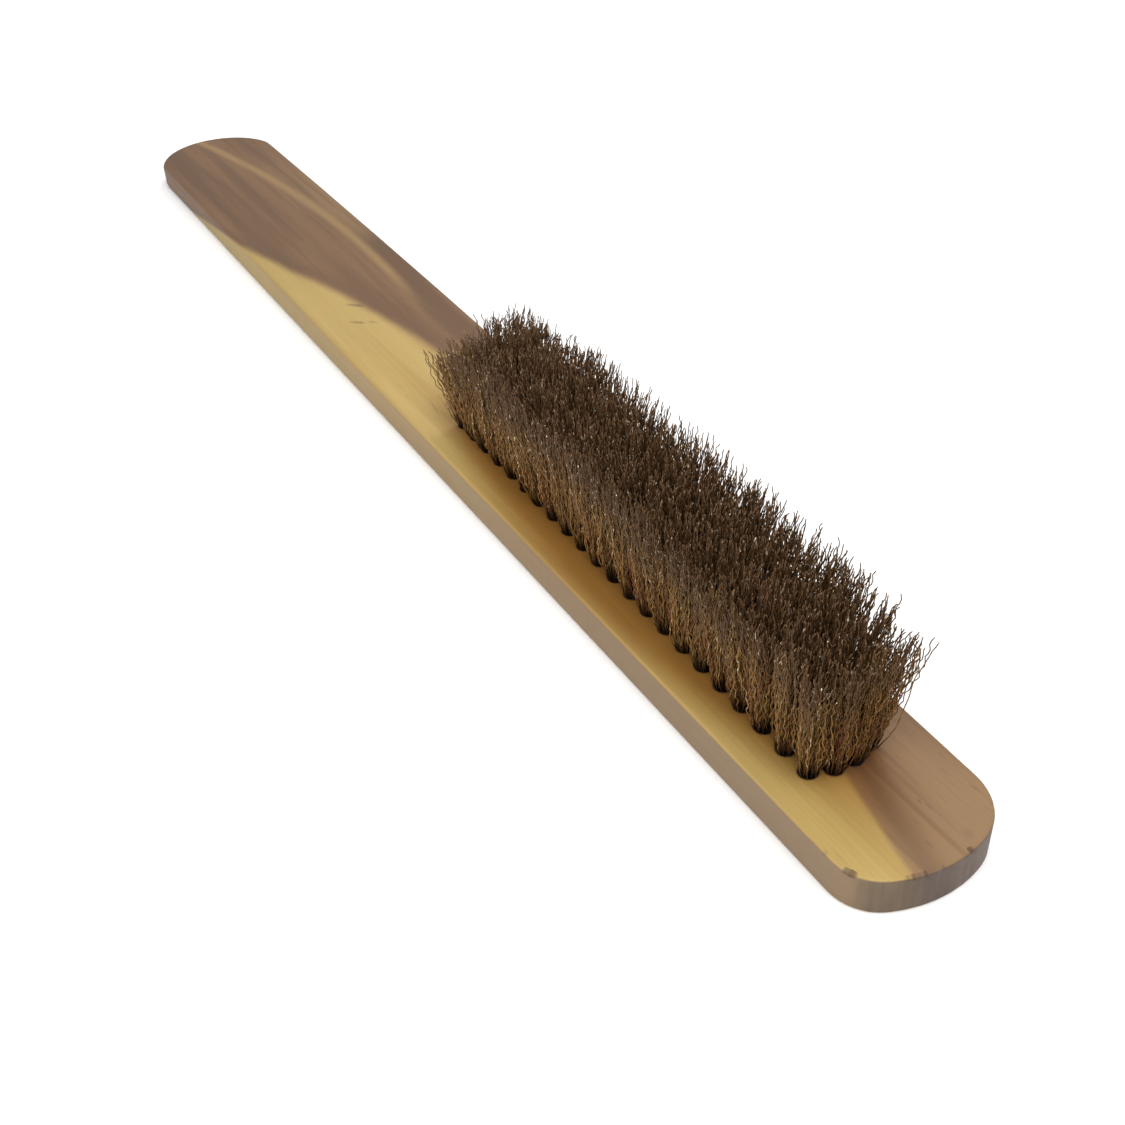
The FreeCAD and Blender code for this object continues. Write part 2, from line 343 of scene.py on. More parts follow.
def chipSize(point):
    # little breaks in the sharp rim, mostly round the sawn toe
    spot = Vector((point.x, point.y, 0)) * board["chipsPerMetre"] + Vector((0, 0, board["seed"]))
    finer, share = board["fineChips"]
    wave = noise.noise(spot) + share * noise.noise(spot * finer)
    amount = math.tanh(max(wave - board["chipStart"], 0) * board["chipSharpness"])
    nearToe = min(max((point.x - board["toeStart"]) / board["chipsGrow"], 0), 1)
    elsewhere = board["chipsElsewhere"]
    return board["chipDepth"] * amount * (elsewhere + (1 - elsewhere) * nearToe)


def rimSpacing(point):
    return board["toeSpacing"] if point.x > board["toeStart"] else board["pointSpacing"]


def makeBoard(rows):
    low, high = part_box("board")
    thick = high.z - low.z
    loop = crossSection(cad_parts["board"], low.z + thick / 2)
    loop = spaceEvenly(loop, rimSpacing)
    inward = inwardNormals(loop)
    mesh = bmesh.new()
    mesh.verts.layers.float.new("holeShade")
    chip = mesh.verts.layers.float.new("chip")

    def ring(place):
        return [mesh.verts.new(place(point, normal)) for point, normal in zip(loop, inward)]

    def rimRing(share, top):
        # share 0 is on the side, 1 is on the flat
        angle = share * math.pi / 2

        def place(point, normal):
            radius = edgeRadius(point.x) + (chipSize(point) if top else 0)
            flat = point + normal * radius * (1 - math.cos(angle))
            rise = radius * (1 - math.sin(angle))
            return (flat.x, flat.y, high.z - rise if top else low.z + rise)
        return ring(place)

    steps = board["rimSteps"]
    rings = [rimRing(1 - step / steps, False) for step in range(steps + 1)]
    rings += [rimRing(step / steps, True) for step in range(steps + 1)]
    for point, *upright in zip(loop, *rings[-steps:]):
        for vert in upright:
            vert[chip] = chipSize(point) / mm

    def inset(depthAt, height):
        return ring(lambda p, n: (*(p + n * (edgeRadius(p.x) + depthAt(p))), height))

    pastChips = inset(lambda p: chipSize(p) + board["chipEdge"], high.z)
    bottomRing = inset(lambda p: board["flatStart"], low.z)
    topRing = inset(lambda p: board["flatStart"], high.z)
    rings = [bottomRing] + rings + [pastChips, topRing]
    count = len(loop)
    for under, over in zip(rings, rings[1:]):
        for n in range(count):
            after = (n + 1) % count
            mesh.faces.new((under[n], under[after], over[after], over[n]))

    mesh.faces.new(list(reversed(bottomRing)))
    holes = [tuft["hole"] for row in rows for tuft in row["tufts"]]
    holeRadius = rows[0]["tufts"][0]["radius"] + board["rootGap"]
    drillFace(mesh, topRing, holes, holeRadius, rows[0]["floor"], high.z)
    for face in mesh.faces:
        face.smooth = True
    bmesh.ops.recalc_face_normals(mesh, faces=mesh.faces)
    data = bpy.data.meshes.new("board")
    mesh.to_mesh(data)
    mesh.free()
    piece = bpy.data.objects.new("woodenBoard", data)
    bpy.context.scene.collection.objects.link(piece)
    return piece


def circle(middle, radius, sides, shift=0.0):
    points = []
    for side in range(sides):
        turn = 2 * math.pi * (side + shift) / sides
        points.append(middle.xy + Vector((math.cos(turn), math.sin(turn))) * radius)
    return points


def drillFace(mesh, rim, holes, radius, floor, face):
    # triangulates the drilled face round its holes, then sinks each hole's wall and floor
    sides = board["holeSides"]
    holeShade = mesh.verts.layers.float["holeShade"]
    points = [vert.co.xy.copy() for vert in rim]
    edges = [(n, (n + 1) % len(rim)) for n in range(len(rim))]
    mouths = []
    for number, hole in enumerate(holes):
        first = len(points)
        for side, spot in enumerate(circle(hole, radius + board["holeFlare"], sides)):
            place = Vector((number * 3.7, side * 0.9, 5))     # its own in the noise
            tear = 1 + board["tear"] * noise.noise(place)
            points.append(hole.xy.lerp(spot, tear))
            edges.append((first + side, first + (side + 1) % sides))
        mouths.append(range(first, first + sides))
        points += circle(hole, radius + board["holeFlare"] + board["mouthShadeWidth"], sides, 0.5)
    low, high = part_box("board")
    step = board["innerGrid"]
    rimPoints = [vert.co.xy for vert in rim]
    x = low.x + step
    while x < high.x - step:
        y = low.y + step
        while y < high.y - step:
            spot = Vector((x, y))
            toHoles = min((hole.xy - spot).length for hole in holes) - radius
            toRim = min((point - spot).length for point in rimPoints[::3])
            if toHoles > board["clearOfHoles"] and toRim > board["clearOfRim"]:
                points.append(spot)
            y += step
        x += step
    insideOnly = 1
    flat, _, faces, origins, _, _ = geometry.delaunay_2d_cdt(
        points, edges, [], insideOnly, board["onePoint"])
    verts = []
    for spot, sources in zip(flat, origins):
        onRim = [n for n in sources if n < len(rim)]
        verts.append(rim[onRim[0]] if onRim else mesh.verts.new((spot.x, spot.y, face)))
    byOrigin = {source: vert for vert, sources in zip(verts, origins) for source in sources}
    for triangle in faces:
        middle = sum((flat[n] for n in triangle), Vector((0, 0))) / 3
        inWood = all((hole.xy - middle).length > radius * board["holeCore"] for hole in holes)
        if inWood and insideLoop(middle, rimPoints):
            mesh.faces.new([verts[n] for n in triangle])
    for hole, mouth in zip(holes, mouths):
        rings = [[byOrigin[n] for n in mouth]]
        for depth in (board["flareDepth"], face - floor):
            rings.append([mesh.verts.new((*spot, face - depth)) for spot in circle(hole, radius, sides)])
        # painted shade: part dark at the mouth, fully dark down the wall and on the floor
        for vert in rings[0]:
            vert[holeShade] = board["mouthShade"]
        for vert in rings[1] + rings[2]:
            vert[holeShade] = 1.0
        for over, under in zip(rings, rings[1:]):
            for n in range(sides):
                after = (n + 1) % sides
                mesh.faces.new((over[n], over[after], under[after], under[n]))
        mesh.faces.new(rings[-1])
        for n in range(sides):
            edge = mesh.edges.get((rings[0][n], rings[0][(n + 1) % sides]))
            if edge:
                edge.smooth = False


def insideLoop(point, loop):
    inside = False
    for a, b in zip(loop, loop[1:] + loop[:1]):
        if (a.y > point.y) != (b.y > point.y):
            if point.x < (b.x - a.x) * (point.y - a.y) / (b.y - a.y) + a.x:
                inside = not inside
    return inside


wood = {
    "sap": linear(179, 152, 90),
    "sapDeep": linear(161, 130, 69),
    "heart": linear(123, 91, 61),
    "heartDeep": linear(101, 73, 48),
    "heartPale": linear(136, 106, 71),
    "streak": linear(158, 126, 80),
    # their darker tone is partly the sawn wood's own, partly painted shade on faces turned from the light
    "sawnSideShaded": linear(126, 104, 84),
    "sawnEndShaded": linear(84, 71, 64),
    "pore": linear(84, 58, 40),
    # painted shade down the holes
    "holeShade": linear(44, 28, 18),
    "chip": linear(74, 52, 42),
    # painted shade, warmed by light bounced off the brass, laid on the wood beside the tufts
    "bounceShade": linear(208, 168, 108),
    # patterns: features per mm, how far they are drawn out along x, y and z, detail, roughness
    "drift": (0.035, (1, 1, 1), 2, 0.5),
    "bands": (0.12, (16, 1, 1), 3, 0.5),
    "fibres": (1.2, (40, 1, 1), 3, 0.6),
    "cloud": (0.025, (3, 1, 1), 2, 0.5),
    "grain": (0.34, (24, 1, 1), 2, 0.5),
    "pores": (1.9, (9, 1, 1), 1, 0.4),
    "sawMarks": (0.9, (1, 1, 14), 3, 0.5),
    # places and lengths in mm
    "boundaryMiddle": 59.2,    # along the board where the sapwood reaches furthest across
    "boundaryReach": 5.45,     # across the board there
    "boundaryWidth": 31.0,
    "boundarySlope": (2.8, 0.3),       # that it moves across for each mm of depth, at the grip and the toe
    "slopeSpan": (-90.0, 60.0),
    "boundaryWobble": 3.0,
    "boundarySoft": (1.9, 0.8),        # half its width at the grip and the toe
    "softSpan": (20.0, 140.0),
    "streakMiddle": (-76.0, 11.1),
    "streakBow": 0.00115,
    "streakWidth": 2.6,
    "streakSpan": (-60.0, -20.0),      # where it fades
    # where that painted shade lies and how far it reaches, in mm
    "bounceShadeMiddle": (93.6, -3.25, 7.5),
    "bounceShadeReach": (80.0, 14.5, 50.0),
    "handled": 0.80,                   # how much the hand has darkened the grip
    "handledSpan": (-120.0, 60.0),
    "sawn": (0.12, 0.85),              # how much of the saw's work shows at the grip and the toe
    "sawnSpan": (-150.0, 150.0),
    "fibreShade": (0.94, 1.04),
    "sawShade": (0.84, 1.1),
    "poreStrength": (0.12, 0.35),      # in the sapwood and the heartwood
    "roughness": (0.50, 0.64),
    "specular": 0.35,
    "bumpDepth": 0.1 * mm,
    "bumpStrength": 0.5,
}
# knots and scratches on the drilled face
# middle, half length and half width in mm, turn in degrees, strength
marks = [
    (-39.3, -5.4, 3.4, 1.0, 42, 0.7),
    (-30.0, -8.8, 3.0, 0.9, 46, 0.6),
    (-28.0, -5.6, 2.0, 0.6, 40, 0.4),
    (24.5, -8.6, 10.0, 0.35, -6, 0.45),
    (19.0, -10.6, 6.0, 0.3, -9, 0.35),
    (179.8, 2.7, 1.5, 1.2, 0, 0.3),
    (170.8, 0.9, 0.8, 0.4, 0, 0.45),
]


def woodMaterial():
    material, desk, surface, place = newMaterial("boardWood")
    x, y, z = desk.parts(place)

    # sapwood on one side of a bowed line, heartwood on the other; the line slopes down through the board
    away = desk.maths("DIVIDE", desk.maths("SUBTRACT", x, wood["boundaryMiddle"]), wood["boundaryWidth"])
    line = desk.maths("SUBTRACT", wood["boundaryReach"], desk.maths("MULTIPLY", away, away))
    depth = desk.maths("SUBTRACT", boardThick, z)
    slope = desk.ramp(x, *wood["slopeSpan"], *wood["boundarySlope"])
    line = desk.maths("ADD", line, desk.maths("MULTIPLY", depth, slope))
    drift = desk.noise(place, *wood["drift"])
    wobble = desk.maths("MULTIPLY", desk.maths("SUBTRACT", drift, 0.5), wood["boundaryWobble"])
    past = desk.maths("ADD", desk.maths("SUBTRACT", y, line), wobble)
    soft = desk.ramp(x, *wood["softSpan"], *wood["boundarySoft"])
    heart = desk.ramp(desk.maths("DIVIDE", past, soft), -1.0, 1.0)

    bands = desk.noise(place, *wood["bands"])
    fibres = desk.noise(place, *wood["fibres"])
    cloud = desk.noise(place, *wood["cloud"])
    heartColour = desk.blend(desk.ramp(bands, 0.38, 0.66), wood["heart"], wood["heartDeep"])
    heartColour = desk.blend(desk.ramp(cloud, 0.48, 0.66), heartColour, wood["heartPale"])
    grain = desk.noise(place, *wood["grain"])
    heartColour = desk.blend(desk.ramp(grain, 0.52, 0.68, 0.0, 0.5), heartColour, wood["heartDeep"])
    rimBand = desk.maths("MULTIPLY", desk.ramp(past, 0.5, 3.0), desk.ramp(past, 3.0, 7.5, 1.0, 0.0))
    heartColour = desk.blend(desk.maths("MULTIPLY", rimBand, 0.55), heartColour, wood["heartDeep"])
    sapColour = desk.blend(desk.ramp(bands, 0.36, 0.74), wood["sap"], wood["sapDeep"])

    # a paler streak that follows the bowed side of the grip
    off = desk.maths("SUBTRACT", x, wood["streakMiddle"][0])
    bow = desk.maths("MULTIPLY", desk.maths("MULTIPLY", off, off), wood["streakBow"])
    off = desk.maths("ADD", desk.maths("SUBTRACT", y, wood["streakMiddle"][1]), bow)
    streak = desk.ramp(desk.maths("ABSOLUTE", off), 0.0, wood["streakWidth"], 0.75, 0.0)
    streak = desk.maths("MULTIPLY", streak, desk.ramp(x, *wood["streakSpan"], 1.0, 0.0))
    heartColour = desk.blend(streak, heartColour, wood["streak"])
    colour = desk.blend(heart, sapColour, heartColour)
    shade = desk.ramp(fibres, 0.3, 0.7, *wood["fibreShade"])
    colour = desk.blend(1.0, colour, desk.grey(shade), "MULTIPLY")
    handled = desk.ramp(x, *wood["handledSpan"], wood["handled"], 1.0)
    colour = desk.blend(1.0, colour, desk.grey(handled), "MULTIPLY")

    # open pores, short and dark along the grain
    pores = desk.noise(place, *wood["pores"])
    poreMask = desk.ramp(pores, 0.69, 0.77)
    poreMask = desk.maths("MULTIPLY", poreMask, desk.ramp(heart, 0.0, 1.0, *wood["poreStrength"]))
    colour = desk.blend(poreMask, colour, wood["pore"])
    for middleX, middleY, half, width, turn, strength in marks:
        mapping = desk.add("ShaderNodeMapping", vector_type="TEXTURE")
        desk.feed(mapping.inputs["Vector"], place)
        mapping.inputs["Location"].default_value = (middleX, middleY, boardThick)
        mapping.inputs["Rotation"].default_value = (0, 0, math.radians(turn))
        mapping.inputs["Scale"].default_value = (half, width, 1)
        mark = desk.ramp(desk.vector("LENGTH", mapping.outputs[0]), 0.3, 1.0, strength, 0.0)
        mark = desk.maths("MULTIPLY", mark, desk.ramp(fibres, 0.35, 0.6, 0.5, 1.0))
        colour = desk.blend(mark, colour, wood["pore"])

    # painted shade, warmed by light bounced off the brass, on the wood beside the tufts
    fromField = desk.vector("SUBTRACT", place, wood["bounceShadeMiddle"])
    fromField = desk.vector("MULTIPLY", fromField, [1 / reach for reach in wood["bounceShadeReach"]])
    bounceShade = desk.ramp(desk.vector("LENGTH", fromField), 0.75, 1.15, 0.85, 0.0)
    colour = desk.blend(bounceShade, colour, wood["bounceShade"], "MULTIPLY")

    # sawn sides and end, greyer and streaked from top to bottom, worn smooth towards the grip, and darker
    # with painted shade on faces turned from the light
    facingX, _, facingZ = desk.parts(desk.add("ShaderNodeTexCoord").outputs["Normal"])
    sideMask = desk.ramp(desk.maths("ABSOLUTE", facingZ), 0.35, 0.9, 1.0, 0.0)
    sawn = desk.maths("MULTIPLY", sideMask, desk.ramp(x, *wood["sawnSpan"], *wood["sawn"]))
    endMask = desk.maths("MULTIPLY", sideMask, desk.ramp(facingX, 0.35, 0.8))
    saw = desk.noise(place, *wood["sawMarks"])
    sawShade = desk.grey(desk.ramp(saw, 0.3, 0.7, *wood["sawShade"]))
    endColour = desk.blend(0.85, colour, wood["sawnEndShaded"])
    endColour = desk.blend(1.0, endColour, sawShade, "MULTIPLY")
    colour = desk.blend(sawn, colour, wood["sawnSideShaded"])
    colour = desk.blend(endMask, colour, endColour)
    # painted shade in and round the holes
    colour = desk.blend(desk.ramp(desk.attribute("holeShade"), 0.0, 1.0), colour, wood["holeShade"])
    chipMask = desk.ramp(desk.attribute("chip"), 0.05, 0.35, 0.0, 0.75)
    colour = desk.blend(chipMask, colour, wood["chip"])
    desk.feed(surface.inputs["Base Color"], colour)

    desk.feed(surface.inputs["Roughness"], desk.ramp(fibres, 0.25, 0.75, *wood["roughness"]))
    surface.inputs["Specular IOR Level"].default_value = wood["specular"]
    height = desk.maths("ADD", desk.maths("MULTIPLY", fibres, 0.5), desk.maths("MULTIPLY", pores, -0.3))
    sawHeight = desk.maths("MULTIPLY", desk.maths("MULTIPLY", saw, sideMask), 1.2)
    height = desk.maths("ADD", height, sawHeight)
    bump(desk, surface, height, wood["bumpDepth"], wood["bumpStrength"])
    return material


rows = tuftPlaces()
woodenBoard = makeBoard(rows)
woodenBoard.data.materials.append(woodMaterial())
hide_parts("board")
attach(woodenBoard, "root")
holeCount = sum(len(row["tufts"]) for row in rows)
print("board made:", len(woodenBoard.data.polygons), "faces,", holeCount, "holes")


wires = {
    "Wires": 86,                     # wire ends standing out of one hole
    "Points": 36,                    # along one wire
    "Wire Radius": 0.11 * mm,
    "Root Radius": 1.45 * mm,
    "Tip Radius": 3.0 * mm,
    "Height": 28.8 * mm,             # face of the board to the longest tips
    "Height Spread": 7.5 * mm,       # how much shorter the shortest wires are
    "Buried": 3.5 * mm,              # length down in the hole
    "Crimp Length": 2.8 * mm,
    "Crimp Depth": 0.24 * mm,
    "Wander": 2.0 * mm,              # each wire's own lean
    "Curl": 4.2 * mm,                # slow bends, free of the crimp
    "Curl Length": 11.0 * mm,
    "Stray Share": 0.06,
    "Stray Reach": 4.0 * mm,
}
wireShape = {
    "shortPower": 2.0,       # more than 1: most wires are long
    "pace": (0.86, 1.16),    # how closely each wire is crimped, as a share
    "swellPower": 0.42,      # under 1: the bundle opens soon after it leaves the hole
    "leanPower": 1.3,        # over 1: the bundle bends over late
    "strayPower": 2.2,
    "freeRate": 6.0,         # the wires bend freely above a sixth of their height
    "curlChoices": 900.0,    # how far apart the wires' curls may lie in the noise
    "wireSides": 3,          # of a wire's section
}
tuftVariety = {
    "seed": 5,
    "lean": 1.4 * mm,        # how far whole tufts lean off their line
    "height": 0.08,          # share by which whole tufts differ in height
    "across": (0.90, 0.97, 1.0, 0.98),    # height of the tufts across a row, straight side first
    "gripDrop": 0.12,        # share that the rows at the grip's end are worn down
    "toeDrop": 0.09,         # and those at the toe
    "splay": (-6.5 * mm, -2.5 * mm),      # that use has bent the corner tufts' tips
    "splayDrop": 0.12,
    "splayTufts": 2,         # tufts across the corner that are splayed
    "splayRows": 1.3,        # rows over which the splay dies away
    "splayLeast": 0.7,       # share of it that every such tuft has
}


def wireTree(settings):
    tree = bpy.data.node_groups.new("wireTuft", "GeometryNodeTree")
    face = tree.interface
    face.new_socket(name="Geometry", in_out="INPUT", socket_type="NodeSocketGeometry")
    for name, value in settings.items():
        kind = "NodeSocketInt" if isinstance(value, int) else "NodeSocketFloat"
        face.new_socket(name=name, in_out="INPUT", socket_type=kind).default_value = value
    face.new_socket(name="Seed", in_out="INPUT", socket_type="NodeSocketInt")
    face.new_socket(name="Material", in_out="INPUT", socket_type="NodeSocketMaterial")
    face.new_socket(name="Geometry", in_out="OUTPUT", socket_type="NodeSocketGeometry")
    desk = NodeDesk(tree)
    given = desk.add("NodeGroupInput").outputs

    def chance(low, high, offset):
        node = desk.add("FunctionNodeRandomValue", data_type="FLOAT")
        desk.feed(node.inputs[2], low)
        desk.feed(node.inputs[3], high)
        desk.feed(node.inputs["Seed"], desk.maths("MULTIPLY_ADD", given["Seed"], 17.0, float(offset)))
        return node.outputs[1]

    def named(name, kind="FLOAT"):
        node = desk.add("GeometryNodeInputNamedAttribute", data_type=kind)
        node.inputs["Name"].default_value = name
        return node.outputs[0]

    def store(shape, name, value, kind="FLOAT"):
        node = desk.add("GeometryNodeStoreNamedAttribute", data_type=kind, domain="POINT")
        desk.feed(node.inputs["Geometry"], shape)
        node.inputs["Name"].default_value = name
        desk.feed(node.inputs["Value"], value)
        return node.outputs[0]

    def xyz(*values):
        node = desk.add("ShaderNodeCombineXYZ")
        for socket, value in zip(node.inputs, values):
            desk.feed(socket, value)
        return node.outputs[0]

    def scaled(vector, amount):
        node = desk.add("ShaderNodeVectorMath", operation="SCALE")
        desk.feed(node.inputs[0], vector)
        desk.feed(node.inputs["Scale"], amount)
        return node.outputs[0]

    def onDisc(radius, offset):
        # a place spread evenly over a disc
        turn = chance(0.0, 2 * math.pi, offset)
        reach = desk.maths("MULTIPLY", desk.maths("SQRT", chance(0.0, 1.0, offset + 1)), radius)
        return xyz(desk.maths("MULTIPLY", desk.maths("COSINE", turn), reach),
                   desk.maths("MULTIPLY", desk.maths("SINE", turn), reach), 0.0)

    points = desk.add("GeometryNodeMeshToPoints")
    desk.feed(points.inputs["Mesh"], given["Geometry"])
    copies = desk.add("GeometryNodeDuplicateElements", domain="POINT")
    desk.feed(copies.inputs["Geometry"], points.outputs[0])
    desk.feed(copies.inputs["Amount"], given["Wires"])
    isStray = desk.maths("LESS_THAN", chance(0.0, 1.0, 7), given["Stray Share"])
    shorter = desk.maths("POWER", chance(0.0, 1.0, 11), wireShape["shortPower"])
    shape = copies.outputs[0]
    shape = store(shape, "spot", onDisc(1.0, 1), "FLOAT_VECTOR")
    shape = store(shape, "wander", onDisc(given["Wander"], 4), "FLOAT_VECTOR")
    shape = store(shape, "stray", scaled(onDisc(given["Stray Reach"], 8), isStray), "FLOAT_VECTOR")
    shape = store(shape, "shorter", desk.maths("MULTIPLY", shorter, given["Height Spread"]))
    shape = store(shape, "phase", chance(0.0, 2 * math.pi, 12))
    shape = store(shape, "crimpTurn", chance(0.0, 2 * math.pi, 13))
    shape = store(shape, "pace", chance(*wireShape["pace"], 14))
    shape = store(shape, "wireTint", chance(0.0, 1.0, 15))
    shape = store(shape, "ownCurl", chance(0.0, wireShape["curlChoices"], 16))

    straight = desk.add("GeometryNodeCurvePrimitiveLine")
    resample = desk.add("GeometryNodeResampleCurve")
    desk.feed(resample.inputs["Curve"], straight.outputs[0])
    desk.feed(resample.inputs["Count"], given["Points"])
    placed = desk.add("GeometryNodeInstanceOnPoints")
    desk.feed(placed.inputs["Points"], shape)
    desk.feed(placed.inputs["Instance"], resample.outputs[0])
    real = desk.add("GeometryNodeRealizeInstances")
    desk.feed(real.inputs[0], placed.outputs[0])

    # along runs from 0 at the buried end to 1 at the tip, rise is the height over the board's face
    along = desk.add("GeometryNodeSplineParameter").outputs["Factor"]
    length = desk.maths("MULTIPLY", given["Height"], named("tall"))
    length = desk.maths("SUBTRACT", length, named("shorter"))
    whole = desk.maths("ADD", length, given["Buried"])
    rise = desk.maths("SUBTRACT", desk.maths("MULTIPLY", along, whole), given["Buried"])
    out = desk.maths("MAXIMUM", desk.maths("DIVIDE", rise, given["Height"]), 0.0)
    swell = desk.maths("POWER", out, wireShape["swellPower"])
    lean = desk.maths("POWER", out, wireShape["leanPower"])
    late = desk.maths("POWER", out, wireShape["strayPower"])
    spread = desk.maths("SUBTRACT", given["Tip Radius"], given["Root Radius"])
    spread = desk.maths("ADD", given["Root Radius"], desk.maths("MULTIPLY", swell, spread))
    sideways = scaled(named("spot", "FLOAT_VECTOR"), spread)
    for name, amount in (("lean", lean), ("wander", swell), ("stray", late)):
        sideways = desk.vector("ADD", sideways, scaled(named(name, "FLOAT_VECTOR"), amount))

    # free of the hole, the wire curls slowly and is crimped to a regular wave
    free = desk.maths("MINIMUM", desk.maths("MULTIPLY", out, wireShape["freeRate"]), 1.0)
    curl = desk.add("ShaderNodeTexNoise", noise_dimensions="4D")
    desk.feed(curl.inputs["Vector"], xyz(0.0, 0.0, desk.maths("DIVIDE", rise, given["Curl Length"])))
    desk.feed(curl.inputs["W"], named("ownCurl"))
    curl.inputs["Scale"].default_value = 1.0
    curl.inputs["Detail"].default_value = 1.0
    bend = desk.vector("SUBTRACT", curl.outputs["Color"], (0.5, 0.5, 0.5))
    bend = desk.vector("MULTIPLY", bend, (1, 1, 0))
    bend = scaled(bend, desk.maths("MULTIPLY", given["Curl"], free))
    turn = named("crimpTurn")
    wave = desk.maths("DIVIDE", desk.maths("MULTIPLY", rise, named("pace")), given["Crimp Length"])
    wave = desk.maths("SINE", desk.maths("MULTIPLY_ADD", wave, 2 * math.pi, named("phase")))
    swing = desk.maths("MULTIPLY", desk.maths("MULTIPLY", wave, given["Crimp Depth"]), free)
    crimp = xyz(desk.maths("MULTIPLY", desk.maths("COSINE", turn), swing),
                desk.maths("MULTIPLY", desk.maths("SINE", turn), swing), 0.0)
    upright = xyz(0.0, 0.0, desk.maths("SUBTRACT", rise, along))
    offset = desk.vector("ADD", desk.vector("ADD", sideways, bend), desk.vector("ADD", crimp, upright))
    move = desk.add("GeometryNodeSetPosition")
    desk.feed(move.inputs["Geometry"], real.outputs[0])
    desk.feed(move.inputs["Offset"], offset)

    section = desk.add("GeometryNodeCurvePrimitiveCircle")
    section.inputs["Resolution"].default_value = wireShape["wireSides"]
    desk.feed(section.inputs["Radius"], given["Wire Radius"])
    tube = desk.add("GeometryNodeCurveToMesh")
    desk.feed(tube.inputs["Curve"], move.outputs[0])
    desk.feed(tube.inputs["Profile Curve"], section.outputs[0])
    tube.inputs["Fill Caps"].default_value = True
    smooth = desk.add("GeometryNodeSetShadeSmooth")
    desk.feed(smooth.inputs[0], tube.outputs[0])
    realTubes = desk.add("GeometryNodeRealizeInstances")
    desk.feed(realTubes.inputs[0], smooth.outputs[0])
    painted = desk.add("GeometryNodeSetMaterial")
    desk.feed(painted.inputs["Geometry"], realTubes.outputs[0])
    desk.feed(painted.inputs["Material"], given["Material"])
    result = desk.add("NodeGroupOutput")
    desk.feed(result.inputs[0], painted.outputs[0])
    return tree


def growWires(name, places, tree, material, seed):
    # places: where each bundle stands, how it leans, and how tall it is
    data = bpy.data.meshes.new(name)
    data.from_pydata([place["hole"] for place in places], [], [])
    data.attributes.new("lean", "FLOAT_VECTOR", "POINT")
    data.attributes.new("tall", "FLOAT", "POINT")
    for number, place in enumerate(places):
        data.attributes["lean"].data[number].vector = place["lean"]
        data.attributes["tall"].data[number].value = place["tall"]
    piece = bpy.data.objects.new(name, data)
    bpy.context.scene.collection.objects.link(piece)
    modifier = piece.modifiers.new("wires", "NODES")
    modifier.node_group = tree
    settings = {**wires, "Seed": seed, "Material": material}
    for item in tree.interface.items_tree:
        if item.in_out == "INPUT" and item.name in settings:
            modifier[item.identifier] = settings[item.name]
    graph = bpy.context.evaluated_depsgraph_get()
    grown = bpy.data.meshes.new_from_object(piece.evaluated_get(graph), depsgraph=graph)
    piece.modifiers.remove(modifier)
    piece.data = grown
    keepOnly(grown, {"position", "wireTint", "sharp_face", "material_index"})
    return piece


def keepOnly(data, names):
    # drops what the tree stored on the way, which the model doesn't need
    spare = [a.name for a in data.attributes if not a.name.startswith(".") and a.name not in names]
    for name in spare:
        attribute = data.attributes.get(name)
        if attribute and not attribute.is_required:
            data.attributes.remove(attribute)


brass = {
    "glint": linear(232, 216, 186),
    "clean": linear(154, 117, 66),
    "worn": linear(108, 79, 46),
    "copper": linear(140, 86, 58),
    # tarnish together with painted shade, laid on the wires towards their tips
    "tarnishAndShade": linear(98, 71, 46),
    # painted shade at the foot of each tuft, with some real tarnish
    "root": linear(50, 34, 24),
    # heights over the board's face in mm
    "rootStarts": 0.4,     # the roots are darkest below this
    "rootEnds": 4.5,       # and free of that darkening above this
    "darkFrom": 9.0,       # where the tarnish and the painted shade between the wires start to deepen
    "darkTo": 22.0,
    "patchSpread": 16.0,   # that the tarnish and painted shade move up and down in patches
    "wireSpread": 8.0,     # and from wire to wire
    # patterns: features per mm, how far they are drawn out along x, y and z, detail
    "patches": (0.16, (1, 1, 1), 2),
    "glints": (1.1, (1, 1, 1), 1),
    "drawMarks": (6.0, (1, 1, 8), 1),
    "roughness": (0.50, 0.25),     # of the wire and of a glint
    "metallic": (0.5, 0.25),       # where it is clean and where it is tarnished and painted darker
    "glintMetallic": 0.95,
    "specular": 0.25,
    "bumpDepth": 0.02 * mm,
    "bumpStrength": 0.3,
}


